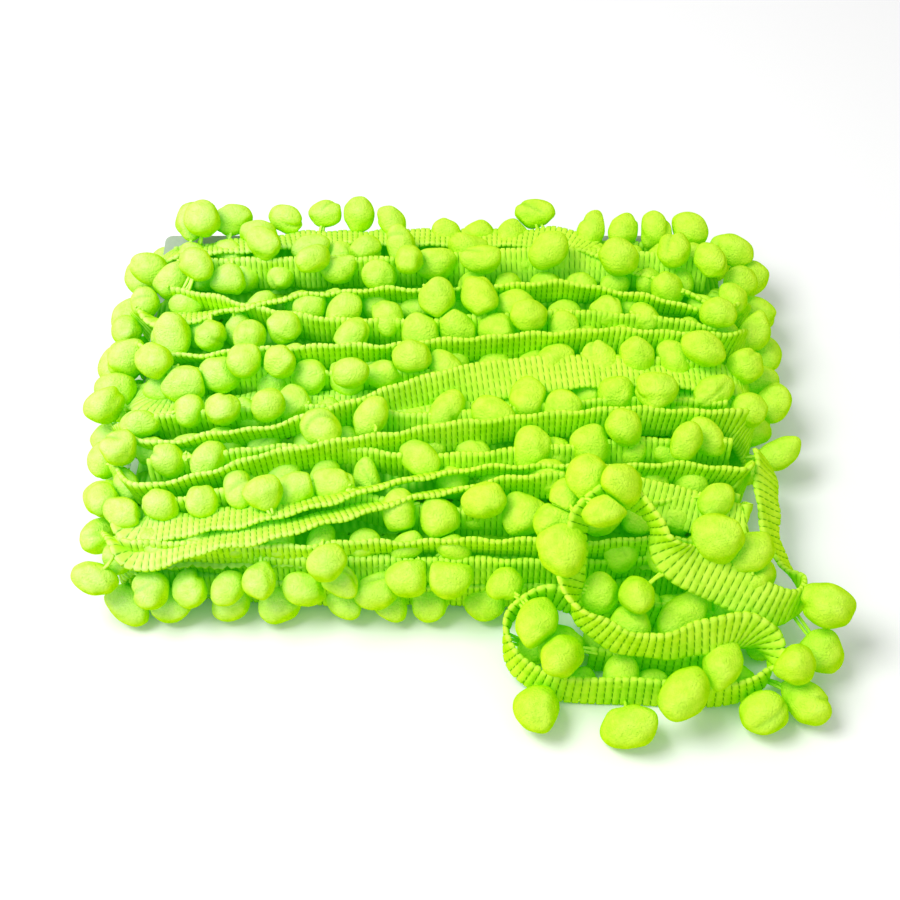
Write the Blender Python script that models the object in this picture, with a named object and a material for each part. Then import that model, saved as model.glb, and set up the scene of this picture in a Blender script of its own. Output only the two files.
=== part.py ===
"""Pompom fringe trim, wound flat on a card with its loose end heaped in front.

Three pieces: the card, the wound trim on it, and the loose end. The trim is a
ribbed braid with a pompom every few millimetres along one edge.
Metres, +X along the winding, +Y away from the heap, +Z up. The origin is on the
flat underside, in the middle of the wound trim.
"""
import math

import bmesh
import bpy
from mathutils import Vector

MM = 0.001

# Braid and pompoms
BRAID_WIDTH = 10.0
BRAID_THICK = 1.5
POMPOM_RADIUS = 5.0
POMPOM_SPACING = 9.2
POMPOM_CORNERS = 1.03
POMPOM_STRETCH = 0.09
STEM_RADIUS = 1.2
STEM_INSIDE = 1.5
STEM_NEEDED = 4.4
FOOT_MARGIN_Y = 3.0
FOOT_MARGIN_X = 6.5
KEEP_FACES = 0.62
LEVEL_BAND = 0.12

# Card that the trim is wound on
CARD_LEFT_X = -77.0
CARD_RIGHT_X = 68.0
CARD_FRONT_Y = -46.0
CARD_BACK_Y = 60.0
CARD_BOTTOM_Z = 10.4
CARD_THICK = 2.5
CARD_CORNER = 2.0
CLEARANCE = 0.3
SLOT_OVERRUN = 10.0

YARN_COLOUR = (0.52, 0.93, 0.03)
YARN_ROUGHNESS = 0.85
CARD_COLOUR = (0.42, 0.52, 0.36)
CARD_ROUGHNESS = 0.9

# Wound trim beneath its outer turns
CORE_HALF_LENGTH = 79.5
CORE_TOP = 20.6
CORE_BOTTOM = 1.0
CORE_MIDDLE = 11.5
END_START = 66.0
END_REACH = CORE_HALF_LENGTH - END_START
END_STEPS = 4
TOP_STEPS = 6

# Crown of the winding, from its front edge to its back edge
CORE_SECTIONS = (
    # y, share of the full height, inset of the left end, inset of the right end
    (-53.0, 0.56, 6.0, 11.0),
    (-50.5, 0.86, 3.0, 9.5),
    (-32.0, 0.97, 0.5, 7.5),
    (-8.0, 1.00, 0.0, 2.0),
    (16.0, 1.00, 0.0, 0.0),
    (36.0, 0.96, 0.5, 0.5),
    (48.5, 0.88, 2.5, 2.5),
    (52.5, 0.62, 8.0, 8.0),
)

# Where along the winding each pass is described: far left, left, middle, right, far right
STATIONS = (-70.0, -35.0, 0.0, 35.0, 70.0)

# The outer turns of braid, back to front. A tilt of 0 lies flat, and 90 stands on edge.
PASSES = (
    # name, y at the five stations, tilt in degrees there, height of the middle above the winding
    ("back", (45.2, 50.7, 51.7, 48.7, 26.2), (-30, -22, -20, -16, -50), 2.5),
    ("second", (19.0, 25.5, 26.0, 27.0, 21.0), (126, 120, 112, 106, 118), 4.4),
    ("third", (6.0, 4.0, 6.0, 9.0, 10.0), (122, 100, 98, 93, 88), 5.0),
    ("fourth", (-8.0, -8.0, -7.5, -7.5, -8.0), (-26, -16, -12, -6, 0), 1.4),
    ("wide", (-23.0, -19.0, -7.0, -1.5, -1.0), (108, 104, 62, 4, -6), 5.6),
    ("sixth", (-36.0, -28.0, -21.5, -17.0, -15.0), (104, 94, 90, 88, 86), 4.8),
    ("seventh", (-46.0, -42.0, -32.5, -32.0, -31.0), (120, 124, 124, 106, 96), 5.0),
    ("eighth", (-52.0, -47.5, -38.0, -37.0, -44.0), (110, 122, 126, 72, 22), 5.4),
    ("front", (-51.0, -51.8, -50.0, -50.8, -50.0), (88, 90, 104, 94, 90), 0.8),
)
PASS_STEPS = 8
END_SINK = 0.5
BENDS = (
    # degrees above level round the end, share of the tilt that is left
    (45, 0.55),
    (-10, 0.2),
    (-65, 0.0),
)
ROOT_DEPTH = 3.0
UNDER_PITCH = 11.5
UNDER_STOPS = (64.0, 56.0)

# Room that a pompom keeps from an upright turn, and how upright a turn is that pushes it aside
PASS_ROOM = 5.6
UPRIGHT_SINE = 0.8
PASS_REACH = 76.0
PASS_FOOT_Z = 16.0

# The pompoms that show, charted as seen from above: one character for each 3 mm from the left end.
# Letters a to g step from far to near across the row, d on its middle line. A capital is a
# pompom that rides up on its neighbours.
CHART_START = -89.0
CHART_PITCH = 3.0
CHART_STEP = 3.0
CHART_RAISE = 4.6
TOP_LIFT = 4.2
WALL_SQUEEZE = 0.8
LOW_ROW_Z = 10.0
TOP_ROWS = (
    # y of the middle line, chart
    (56.0, ".......cE. .c.d.c...b ..b..c.... ........b. ...e..d..e ..d...g..."),
    (38.0, "....d.f.F. .f..C...bE .d.ceb.E.d ..bE.....D .....E.... D..E..e..."),
    (21.0, "..d.b..... ......f.d. .dg..e..fC .f.Cf.dF.. f...c..c.c ...D.b.e.."),
    (6.0, "..fc..Fb.g bf.Fb..F.g .eG.f..F.. f........e ...d..d..c .E...e.g.."),
    (-10.0, "..D..f...e ..G...G.c. ....E..... e...f..d.e ....c..D.. .gc..d.e.."),
    (-26.0, "..c.D...c. .d........ Dg......e. .......df. .gc.B....D ...beb.d.."),
    (-40.0, "...c.d.d.. .d..c.D.c. .......e.f ...E..e... ..e.b..... .d..c..d.."),
)
# Rows on the front and back walls of the winding, where the letters step from high to low
WALL_ROWS = (
    # y, z of the middle line, chart
    (-56.5, 17.0, "...d....f. f..f.d...f .a.ef..d.. d.f..g.... .......... .........."),
    (-56.0, 5.0, ".....d..d. ...d...d.. ..d...d.d. ...d...... .......... .........."),
    (57.0, 18.5, ".......... .......... .......... e..d..e... .......... .........."),
    (57.0, 5.0, "....d...d. ..d...d..d ...d...d.. .d...d..d. ..d..d...d ..d..d...."),
)
# Rows down the two ends of the winding
END_ROWS = (
    # side, z, distance out of the winding, first y, last y, count
    (-1, 12.0, 3.6, -40.0, 44.0, 7),
    (-1, 5.2, 1.4, -34.0, 38.0, 6),
    (1, 12.0, 3.6, -8.0, 46.0, 5),
    (1, 5.2, 1.4, -14.0, 40.0, 5),
)
END_WOBBLE = 2.0

# Neighbouring pompoms are pushed apart in rounds, mostly sideways
PUSH_ROUNDS = 24
PUSH_SHARE = 0.25
PUSH_UP = 0.4
CARD_TOUCH = 0.3

# The loose end: the middle line of its braid from the winding to its cut end.
# A tilt of 0 lies flat, and 90 stands on edge.
LOOSE_ROUTE = (
    # x, y, z, tilt
    (78.6, -22.0, 17.5, 68),
    (78.6, -28.0, 17.8, 66),
    (78.2, -34.5, 16.8, 62),
    (78.4, -41.0, 14.8, 60),
    (79.8, -47.5, 13.0, 62),
    (82.5, -52.7, 12.5, 70),
    (84.0, -58.0, 13.5, 84),
    (81.0, -63.2, 16.0, 78),
    (75.1, -65.4, 19.0, 60),
    (68.7, -64.1, 22.0, 46),
    (60.5, -62.2, 26.0, 40),
    (53.4, -60.8, 30.0, 56),
    (49.6, -58.0, 33.5, 84),
    (47.6, -54.6, 36.5, 94),
    (44.3, -51.1, 39.0, 94),
    (39.5, -49.3, 40.0, 92),
    (34.4, -50.4, 38.0, 88),
    (31.0, -53.6, 34.5, 76),
    (30.0, -58.1, 31.5, 60),
    (29.4, -62.0, 29.0, 54),
    (28.8, -66.0, 27.0, 60),
    (30.1, -69.8, 25.0, 74),
    (34.1, -72.9, 22.5, 84),
    (39.4, -75.1, 20.5, 88),
    (45.4, -76.3, 19.5, 92),
    (52.0, -75.8, 19.5, 100),
    (58.0, -74.2, 19.5, 108),
    (64.0, -72.3, 19.0, 110),
    (69.3, -70.8, 17.0, 104),
    (73.8, -71.4, 13.3, 96),
    (75.5, -74.6, 9.8, 92),
    (72.8, -78.3, 7.4, 92),
    (67.0, -80.5, 6.0, 92),
    (59.0, -80.9, 5.4, 90),
    (50.0, -80.0, 5.2, 86),
    (41.0, -79.5, 5.2, 84),
    (32.0, -79.5, 5.3, 86),
    (25.0, -78.6, 5.9, 88),
    (19.4, -75.9, 7.3, 88),
    (15.8, -72.1, 9.2, 86),
    (14.9, -67.8, 11.5, 86),
    (16.6, -63.8, 13.6, 84),
    (20.6, -61.4, 15.6, 82),
    (25.5, -61.0, 16.2, 84),
    (31.0, -61.6, 14.8, 86),
    (38.0, -62.5, 12.4, 88),
    (46.0, -62.5, 10.6, 90),
    (54.0, -62.0, 9.2, 92),
    (60.8, -62.6, 8.2, 94),
    (65.0, -66.0, 7.2, 94),
    (64.2, -70.3, 6.2, 92),
    (58.5, -72.6, 5.4, 90),
    (50.0, -72.2, 5.3, 90),
    (41.5, -71.6, 5.3, 90),
    (34.0, -71.2, 5.6, 90),
)
LOOSE_STEPS = 2
LOOSE_ROOM = 1.1
LOOSE_INDEX = 500

# Pompoms of the loose end, on short yarn stems
LOOSE_POMPOMS = (
    # x, y, z, radius
    (25.8, -51.4, 32.5, 5.0),
    (26.9, -59.6, 32.5, 6.0),
    (28.3, -47.2, 36.0, 4.2),
    (35.8, -54.8, 41.5, 4.8),
    (40.2, -50.4, 44.5, 5.4),
    (33.0, -46.0, 41.5, 5.0),
    (21.5, -69.0, 18.0, 5.6),
    (27.0, -77.0, 16.0, 5.8),
    (22.0, -84.5, 5.9, 5.8),
    (42.0, -89.0, 6.1, 6.0),
    (54.3, -84.5, 12.8, 5.9),
    (44.0, -66.0, 25.0, 5.4),
    (36.0, -63.5, 21.5, 4.8),
    (42.4, -69.0, 17.0, 5.0),
    (54.5, -66.5, 16.5, 5.4),
    (52.5, -67.2, 7.0, 4.6),
    (63.5, -77.0, 12.8, 5.2),
    (80.0, -77.5, 13.5, 5.6),
    (87.5, -70.5, 8.0, 5.2),
    (83.0, -82.5, 5.6, 5.4),
    (88.0, -64.5, 18.0, 5.8),
    (73.0, -85.0, 5.8, 5.6),
    (62.0, -56.0, 32.5, 5.8),
    (70.5, -56.5, 27.0, 5.2),
    (72.0, -58.5, 21.0, 5.0),
    (70.8, -65.5, 8.5, 5.0),
    (28.0, -69.5, 8.0, 5.0),
    (41.0, -75.4, 7.0, 4.2),
    (33.5, -58.4, 9.0, 4.2),
    (47.0, -58.4, 7.5, 4.2),
    (60.0, -58.4, 7.0, 4.2),
    (14.8, -58.6, 17.5, 4.4),
)


def wobble(index, channel):
    """A steady value from -1 to 1 that differs from pompom to pompom."""
    return math.sin(12.9898 * index + 78.233 * channel + 0.5)


def blend(values, x):
    """Reads a value given at the five stations anywhere between them, without corners."""
    last = len(STATIONS) - 2
    span = STATIONS[1] - STATIONS[0]
    place = min(max((x - STATIONS[0]) / span, 0.0), last + 0.9999)
    i = int(place)
    t = place - i
    before = values[max(i - 1, 0)]
    after = values[min(i + 2, last + 1)]
    a = values[i]
    b = values[i + 1]
    slope_a = (b - before) / 2
    slope_b = (after - a) / 2
    return (a * (1 + 2 * t) + slope_a * t) * (1 - t) ** 2 + (b * (3 - 2 * t) + slope_b * (t - 1)) * t ** 2


def crown(y, side):
    """Share of the full height, and the inset of one end, at one place across the winding."""
    rows = CORE_SECTIONS
    end = 2 if side < 0 else 3
    for near, far in zip(rows, rows[1:]):
        if y <= far[0]:
            t = min(max((y - near[0]) / (far[0] - near[0]), 0.0), 1.0)
            return near[1] + (far[1] - near[1]) * t, near[end] + (far[end] - near[end]) * t
    return rows[-1][1], rows[-1][end]


def winding_top(x, y, above=0.0):
    """Height of the winding's upper surface, or of a layer above it."""
    share, inset = crown(y, x)
    rise = (CORE_TOP - CORE_MIDDLE) * share + above
    reach = END_REACH - inset + above
    over = max(abs(x) - END_START, 0.0) / reach
    return CORE_MIDDLE + rise * math.sqrt(max(1.0 - over * over, 0.0))


def smooth_line(points, steps):
    """More points on a smooth curve through the given ones, each a tuple of numbers."""
    line = []
    count = len(points)
    for i in range(count - 1):
        before = points[max(i - 1, 0)]
        after = points[min(i + 2, count - 1)]
        for k in range(steps):
            t = k / steps
            point = []
            for p0, p1, p2, p3 in zip(before, points[i], points[i + 1], after):
                bend = (2 * p0 - 5 * p1 + 4 * p2 - p3) * t * t + (3 * p1 - p0 - 3 * p2 + p3) * t ** 3
                point.append(p1 + 0.5 * ((p2 - p0) * t + bend))
            line.append(tuple(point))
    line.append(tuple(float(value) for value in points[-1]))
    return line


def charted(rows_text):
    """Yields the place, the row step and the raised flag of each letter in one chart."""
    for place, letter in enumerate(rows_text.replace(" ", "")):
        if letter != ".":
            step = ord("d") - ord(letter.lower())
            yield CHART_START + CHART_PITCH * place, step * CHART_STEP, letter.isupper()


def loose_line():
    return smooth_line(LOOSE_ROUTE, LOOSE_STEPS)


def clear_of_loose_end(centre, line):
    """True where a pompom of the winding has room beneath or beside the loose end."""
    for x, y, z, tilt in line:
        if (Vector((x, y, z)) - centre).length < BRAID_WIDTH / 2 + POMPOM_RADIUS + LOOSE_ROOM:
            return False
    for x, y, z, radius in LOOSE_POMPOMS:
        if (Vector((x, y, z)) - centre).length < POMPOM_RADIUS + radius + LOOSE_ROOM:
            return False
    return True


def winding_pompoms():
    """Centre of each pompom on the winding, pushed apart so that neighbours only touch."""
    centres = []
    for y, chart in TOP_ROWS:
        for x, step, raised in charted(chart):
            lift = TOP_LIFT + (CHART_RAISE if raised else 0.0)
            centres.append(Vector((x, y + step, winding_top(x, y + step, lift))))
    for y, z, chart in WALL_ROWS:
        squeeze = WALL_SQUEEZE if z > LOW_ROW_Z else 0.0
        for x, step, raised in charted(chart):
            centres.append(Vector((x, y, z + step * squeeze)))
    for side, z, out, first, last, count in END_ROWS:
        for k in range(count):
            y = first + (last - first) * k / (count - 1)
            share, inset = crown(y, side)
            centres.append(Vector((side * (CORE_HALF_LENGTH - inset + out), y + END_WOBBLE * wobble(k, z), z)))
    line = loose_line()
    centres = [centre for centre in centres if clear_of_loose_end(centre, line)]
    for turn in range(PUSH_ROUNDS):
        for i, a in enumerate(centres):
            for b in centres[:i]:
                apart = a - b
                short = POMPOM_SPACING - apart.length
                if 0.0 < short < POMPOM_SPACING:
                    push = apart.normalized() * short * PUSH_SHARE
                    push.z = push.z * PUSH_UP
                    a += push
                    b -= push
        for centre in centres:
            push_off_upright_turns(centre)
    for centre in centres:
        keep_off_card(centre)
        centre.z = max(centre.z, POMPOM_RADIUS)
    return centres


def push_off_upright_turns(centre):
    """Moves a pompom away from each turn of braid that stands on edge beside it."""
    for name, y_row, tilts, lift in PASSES:
        upright = abs(math.sin(math.radians(blend(tilts, centre.x)))) > UPRIGHT_SINE
        off = centre.y - blend(y_row, centre.x)
        if upright and abs(off) < PASS_ROOM and abs(centre.x) < PASS_REACH and centre.z > PASS_FOOT_Z:
            centre.y += (PASS_ROOM - abs(off)) * PUSH_UP * (1.0 if off > 0 else -1.0)


def keep_off_card(centre):
    """Sets a pompom behind the winding on the card's upper face, or just under the card."""
    if centre.y > CORE_SECTIONS[-1][0] - 1.0:
        room = CLEARANCE + POMPOM_RADIUS + CARD_TOUCH
        if centre.z > CARD_BOTTOM_Z:
            centre.z = max(centre.z, CARD_BOTTOM_Z + CARD_THICK + room)
        else:
            centre.z = CARD_BOTTOM_Z - room


def put_material(thing, colour, roughness):
    material = bpy.data.materials.new(thing.name)
    material.use_nodes = True
    shader = material.node_tree.nodes["Principled BSDF"]
    shader.inputs["Base Color"].default_value = (*colour, 1.0)
    shader.inputs["Roughness"].default_value = roughness
    shader.inputs["Metallic"].default_value = 0.0
    thing.data.materials.append(material)


def new_object(name, shape):
    """Turns a bmesh in millimetres into an object in metres."""
    shape.normal_update()
    bmesh.ops.recalc_face_normals(shape, faces=shape.faces)
    bmesh.ops.scale(shape, vec=(MM, MM, MM), verts=shape.verts)
    mesh = bpy.data.meshes.new(name)
    shape.to_mesh(mesh)
    shape.free()
    thing = bpy.data.objects.new(name, mesh)
    bpy.context.scene.collection.objects.link(thing)
    return thing


def join_rings(shape, rings, closed):
    """Skins a row of rings of points, with a cap at each end unless the row is closed."""
    rows = [[shape.verts.new(point) for point in ring] for ring in rings]
    size = len(rows[0])
    pairs = list(zip(rows, rows[1:]))
    if closed:
        pairs.append((rows[-1], rows[0]))
    for a, b in pairs:
        for i in range(size):
            j = (i + 1) % size
            shape.faces.new((a[i], a[j], b[j], b[i]))
    if not closed:
        shape.faces.new(rows[0][::-1])
        shape.faces.new(rows[-1])


def add_box(shape, low, high):
    corners = ((low[0], low[1]), (high[0], low[1]), (high[0], high[1]), (low[0], high[1]))
    join_rings(shape, [[(x, y, z) for x, y in corners] for z in (low[2], high[2])], closed=False)


def core_section(y):
    """Outline of the winding across one line of Y: flat below, crowned above, round ends."""
    points = []
    for k in range(TOP_STEPS + 1):
        x = -END_START + 2 * END_START * k / TOP_STEPS
        points.append((x, y, winding_top(x, y)))
    for side in (1, -1):
        share, inset = crown(y, side)
        reach = END_REACH - inset
        top = (CORE_TOP - CORE_MIDDLE) * share
        for k in range(1, 2 * END_STEPS):
            angle = math.pi / 2 * (1 - k / END_STEPS)
            height = top if angle > 0 else CORE_MIDDLE - CORE_BOTTOM
            points.append((side * (END_START + reach * math.cos(angle)), y, CORE_MIDDLE + height * math.sin(angle)))
        points.append((side * END_START, y, CORE_BOTTOM))
        if side == 1:
            points.append((0.0, y, CORE_BOTTOM))
        else:
            arc = points[-2 * END_STEPS:]
            del points[-2 * END_STEPS:]
            points.extend(arc[::-1])
    return points


def make_core():
    shape = bmesh.new()
    join_rings(shape, [core_section(row[0]) for row in CORE_SECTIONS], closed=False)
    return new_object("core", shape)


def pass_stops(y_row, tilts, lift, under_y):
    """Stops once round the winding: middle of the braid, tilt, way out of the winding, depth of its root."""
    stops = []
    up = Vector((0.0, 0.0, 1.0))
    for k in range(PASS_STEPS + 1):
        x = STATIONS[0] + (STATIONS[-1] - STATIONS[0]) * k / PASS_STEPS
        tilt = math.radians(blend(tilts, x))
        y = blend(y_row, x)
        near_end = max(abs(x) - STATIONS[-2], 0.0) / (STATIONS[-1] - STATIONS[-2])
        height = winding_top(x, y, lift * (1.0 - END_SINK * near_end))
        stops.append((Vector((x, y, height)), tilt, up, ROOT_DEPTH * abs(math.cos(tilt))))
    for side, end_y, end_tilt in ((1, y_row[-1], tilts[-1]), (-1, y_row[0], tilts[0])):
        arc = []
        for k, (bend, share_of_tilt) in enumerate(BENDS, 1):
            angle = math.radians(bend)
            y = end_y + (under_y - end_y) * k / (len(BENDS) + 1)
            share, inset = crown(y, side)
            out = Vector((side * math.cos(angle), 0.0, math.sin(angle)))
            height = (CORE_TOP - CORE_MIDDLE) * share if angle > 0 else CORE_MIDDLE - BRAID_THICK / 2
            tilt = math.radians(end_tilt) * share_of_tilt
            x = side * (END_START + (END_REACH - inset) * math.cos(angle))
            middle = Vector((x, y, CORE_MIDDLE + height * math.sin(angle)))
            arc.append((middle + out * lift * END_SINK * share_of_tilt, tilt, out, 0.0))
        flat = [(Vector((side * x, under_y, BRAID_THICK / 2)), 0.0, -up, 0.0) for x in UNDER_STOPS]
        stops += arc + flat if side == 1 else flat[::-1] + arc[::-1]
    return stops


def turn_of_braid(stops):
    """One closed turn of braid, four-sided, with its lower face sunk where the braid lies flat."""
    shape = bmesh.new()
    rings = []
    count = len(stops)
    for i, (middle, tilt, out, root) in enumerate(stops):
        along = (stops[(i + 1) % count][0] - stops[i - 1][0]).normalized()
        half = Vector((0.0, 1.0, 0.0)) * math.cos(tilt) + out * math.sin(tilt)
        half = (half - along * half.dot(along)).normalized() * BRAID_WIDTH / 2
        face = half.cross(along).normalized() * BRAID_THICK / 2
        sink = Vector((0.0, 0.0, -root))
        ring = [middle - half - face, middle + half - face, middle + half + face, middle - half + face]
        for corner in ((0, 1) if face.z > 0 else (2, 3)):
            ring[corner] = ring[corner] + sink
        for point in ring:
            point.z = max(point.z, 0.0)
        rings.append(ring)
    join_rings(shape, rings, closed=True)
    return shape


def pompom(centre, radius, index):
    """A faceted lump, a little longer one way, and flat where it rests on the floor."""
    shape = bmesh.new()
    made = bmesh.ops.create_icosphere(shape, subdivisions=1, radius=radius * POMPOM_CORNERS)
    stretch = 1.0 + POMPOM_STRETCH * wobble(index, 1)
    turn = math.pi * wobble(index, 2)
    for vert in made["verts"]:
        x = vert.co.x * stretch
        y = vert.co.y / stretch
        vert.co.x = centre.x + x * math.cos(turn) - y * math.sin(turn)
        vert.co.y = centre.y + x * math.sin(turn) + y * math.cos(turn)
        vert.co.z = max(centre.z + vert.co.z, 0.0)
    return shape


def stem(start, end):
    """A three-sided yarn stem from a pompom's heart into what carries it."""
    shape = bmesh.new()
    along = (end - start).normalized()
    side = along.cross(Vector((0.31, 0.83, 0.12))).normalized()
    other = along.cross(side)
    rings = []
    for point in (start, end):
        ring = []
        for k in range(3):
            angle = 2 * math.pi * k / 3
            ring.append(point + (side * math.cos(angle) + other * math.sin(angle)) * STEM_RADIUS)
        rings.append(ring)
    join_rings(shape, rings, closed=False)
    return shape


def stem_foot(centre):
    """Where a pompom of the winding is tied: a little inside the winding's surface."""
    y = min(max(centre.y, CORE_SECTIONS[0][0] + FOOT_MARGIN_Y), CORE_SECTIONS[-1][0] - FOOT_MARGIN_Y)
    reach = CORE_HALF_LENGTH - crown(y, centre.x)[1] - FOOT_MARGIN_X
    x = min(max(centre.x, -reach), reach)
    z = min(centre.z, winding_top(x, y) - STEM_INSIDE)
    return Vector((x, y, z))


def fuse(base, shells, name, cutter=None):
    """Joins the shells to the base one by one, thins the slivers out, and cuts the slot last.

    The joins use the MANIFOLD solver, because EXACT leaves pinched edges where a hundred
    and more lumps meet in one solid. The slot's straight cut uses EXACT.
    """
    tools = []
    for index, shell in enumerate(shells):
        tools.append(new_object(f"{name}_{index}", shell))
        union = base.modifiers.new(f"union_{index}", "BOOLEAN")
        union.operation = "UNION"
        union.solver = "MANIFOLD"
        union.object = tools[-1]
    thin_out = base.modifiers.new("thin_out", "DECIMATE")
    thin_out.ratio = KEEP_FACES
    if cutter:
        cut = base.modifiers.new("cut", "BOOLEAN")
        cut.operation = "DIFFERENCE"
        cut.solver = "EXACT"
        cut.object = cutter
        tools.append(cutter)
    depsgraph = bpy.context.evaluated_depsgraph_get()
    mesh = bpy.data.meshes.new_from_object(base.evaluated_get(depsgraph))
    mesh.name = name
    keep_outer_skin(mesh)
    for thing in tools + [base]:
        bpy.data.objects.remove(thing)
    fused = bpy.data.objects.new(name, mesh)
    bpy.context.scene.collection.objects.link(fused)
    put_material(fused, YARN_COLOUR, YARN_ROUGHNESS)


def keep_outer_skin(mesh):
    """Keeps the largest closed skin of a mesh, deletes those enclosed by it, and levels its underside."""
    shape = bmesh.new()
    shape.from_mesh(mesh)
    for vert in shape.verts:
        if vert.co.z < LEVEL_BAND * MM:
            vert.co.z = 0.0
    bmesh.ops.triangulate(shape, faces=shape.faces)
    left = set(shape.faces)
    largest = []
    while left:
        group = [left.pop()]
        for face in group:
            for edge in face.edges:
                if len(edge.link_faces) == 2:
                    found = [other for other in edge.link_faces if other in left]
                    left.difference_update(found)
                    group.extend(found)
        if len(group) > len(largest):
            largest = group
    keep = set(largest)
    bmesh.ops.delete(shape, geom=[face for face in shape.faces if face not in keep], context="FACES")
    shape.to_mesh(mesh)
    shape.free()


def card():
    shape = bmesh.new()
    low = (CARD_LEFT_X, CARD_FRONT_Y, CARD_BOTTOM_Z)
    high = (CARD_RIGHT_X, CARD_BACK_Y, CARD_BOTTOM_Z + CARD_THICK)
    add_box(shape, low, high)
    upright = [edge for edge in shape.edges if abs(edge.verts[0].co.z - edge.verts[1].co.z) > 1.0]
    bmesh.ops.bevel(shape, geom=upright, offset=CARD_CORNER, segments=3, profile=0.5, affect="EDGES")
    board = new_object("card", shape)
    put_material(board, CARD_COLOUR, CARD_ROUGHNESS)


def wound_trim():
    """The winding with its slot for the card, its outer turns and its pompoms, all one solid."""
    core = make_core()
    slot = bmesh.new()
    low = (CARD_LEFT_X - CLEARANCE, CARD_FRONT_Y - CLEARANCE, CARD_BOTTOM_Z - CLEARANCE)
    high = (CARD_RIGHT_X + CLEARANCE, CARD_BACK_Y + SLOT_OVERRUN, CARD_BOTTOM_Z + CARD_THICK + CLEARANCE)
    add_box(slot, low, high)
    shells = []
    for place, (name, y_row, tilts, lift) in enumerate(PASSES):
        under_y = UNDER_PITCH * ((len(PASSES) - 1) / 2 - place)
        shells.append(turn_of_braid(pass_stops(y_row, tilts, lift, under_y)))
    for index, centre in enumerate(winding_pompoms()):
        shells.append(pompom(centre, POMPOM_RADIUS, index))
        foot = stem_foot(centre)
        if (centre - foot).length > STEM_NEEDED:
            shells.append(stem(centre, foot))
    fuse(core, shells, "wound_trim", new_object("slot", slot))


def loose_trim():
    """The strip of braid that leaves the winding, with its pompoms, all one solid."""
    line = loose_line()
    middles = [Vector(point[:3]) for point in line]
    rings = []
    for i, point in enumerate(line):
        along = (middles[min(i + 1, len(line) - 1)] - middles[max(i - 1, 0)]).normalized()
        level = along.cross(Vector((0.0, 0.0, 1.0))).normalized()
        tilt = math.radians(point[3])
        half = (level * math.cos(tilt) + level.cross(along) * math.sin(tilt)) * BRAID_WIDTH / 2
        face = along.cross(half).normalized() * BRAID_THICK / 2
        here = middles[i]
        rings.append((here - half - face, here + half - face, here + half + face, here - half + face))
    strip = bmesh.new()
    join_rings(strip, rings, closed=False)
    shells = []
    for index, (x, y, z, radius) in enumerate(LOOSE_POMPOMS):
        centre = Vector((x, y, z))
        nearest = min(middles, key=lambda middle: (middle - centre).length)
        shells.append(pompom(centre, radius, index + LOOSE_INDEX))
        shells.append(stem(centre, nearest))
    fuse(new_object("strip", strip), shells, "loose_trim")


def main():
    for thing in list(bpy.data.objects):
        bpy.data.objects.remove(thing)
    card()
    wound_trim()
    loose_trim()


main()
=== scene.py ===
"""Looks of the pompom fringe trim: ribbed braid wound on a card, with its loose end in a heap.

Sizes are in millimetres. The wound form and the places of the turns and the pompoms come from
the same named sizes and tables as the solids. The left ends of three turns (second, seventh and
eighth) and the start of the loose end lie flatter here, as in the photo.
"""
import math
import random

import bmesh
import bpy
import numpy as np
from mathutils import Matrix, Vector


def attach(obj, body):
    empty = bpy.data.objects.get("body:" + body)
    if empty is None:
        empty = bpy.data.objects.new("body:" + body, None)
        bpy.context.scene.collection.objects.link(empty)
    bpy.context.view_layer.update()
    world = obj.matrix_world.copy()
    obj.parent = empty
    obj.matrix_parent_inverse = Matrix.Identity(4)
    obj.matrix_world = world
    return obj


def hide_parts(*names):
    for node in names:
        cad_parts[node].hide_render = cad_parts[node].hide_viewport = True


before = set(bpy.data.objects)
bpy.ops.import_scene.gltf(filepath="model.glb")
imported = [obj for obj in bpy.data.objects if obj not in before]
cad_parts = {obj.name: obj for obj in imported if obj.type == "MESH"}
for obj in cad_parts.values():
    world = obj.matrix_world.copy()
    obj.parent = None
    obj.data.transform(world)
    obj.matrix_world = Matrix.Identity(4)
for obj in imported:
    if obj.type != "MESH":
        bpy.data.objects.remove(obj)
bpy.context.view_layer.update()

MM = 0.001

# Braid and pompoms
BRAID_WIDTH = 10.0
POMPOM_RADIUS = 5.0
POMPOM_SPACING = 9.2

# Ribs of the braid: three rings of points to a rib, the first in the slot between two ribs.
# Lengthwise rows of stitches bridge the slots, and leave a small hole between each two.
RIB_PITCH = 1.4
LOOSE_PITCH = 1.8
LAYER_RIB_PITCH = 2.0
RIB_PLACES = (0.0, 0.16, 0.84)
# Relief of each ring, which also sets its painted shade: the slot between ribs is painted darkest
RIB_RELIEF = (0.0, 1.0, 1.0)
BRAID_CORE = 0.35
RIB_RISE = 0.4
STITCH_COLUMNS = 13
BELOW_COLUMNS = 10
LAYER_COLUMNS = 4
LAYER_RIB_PLACES = (0.0, 0.5)
LAYER_RIB_RELIEF = (0.0, 1.0)
BRIDGE_EVERY = 3
STITCH_BRIDGE = 0.7
STITCH_DIP = 0.8
SCALLOP = 0.9
SCALLOP_BETWEEN = 0.35
EDGE_THINNING = 0.45
EDGE_POWER = 8
BRAID_STEPS = 14

# How unevenly the ribs lie: shares of a rib's pitch and of its height, and what that adds to its reach
RIB_SHIFT = 0.05
RIB_SWELL = (0.86, 1.1)
SWELL_REACH = 0.22

# How a braid sways as it runs: the length of each wave, the tilt in degrees that the first two
# give and the curl of the third. Close to the floor the sway is lost.
LILT_LENGTHS = (23.0, 41.0, 11.0)
LILT_TILTS = (3.5, 2.5)
LILT_CURL = 0.35
LILT_HEIGHT = 9.0
LILT_LOST = 0.4

# About a full turn in radians, from which the random starts of waves are picked
FULL_TURN = 6.28

# Least height above the floor of a braid, a pompom and a strand
BRAID_FLOOR = 0.02
POMPOM_FLOOR = 0.04
STRAND_FLOOR = 0.05

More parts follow.
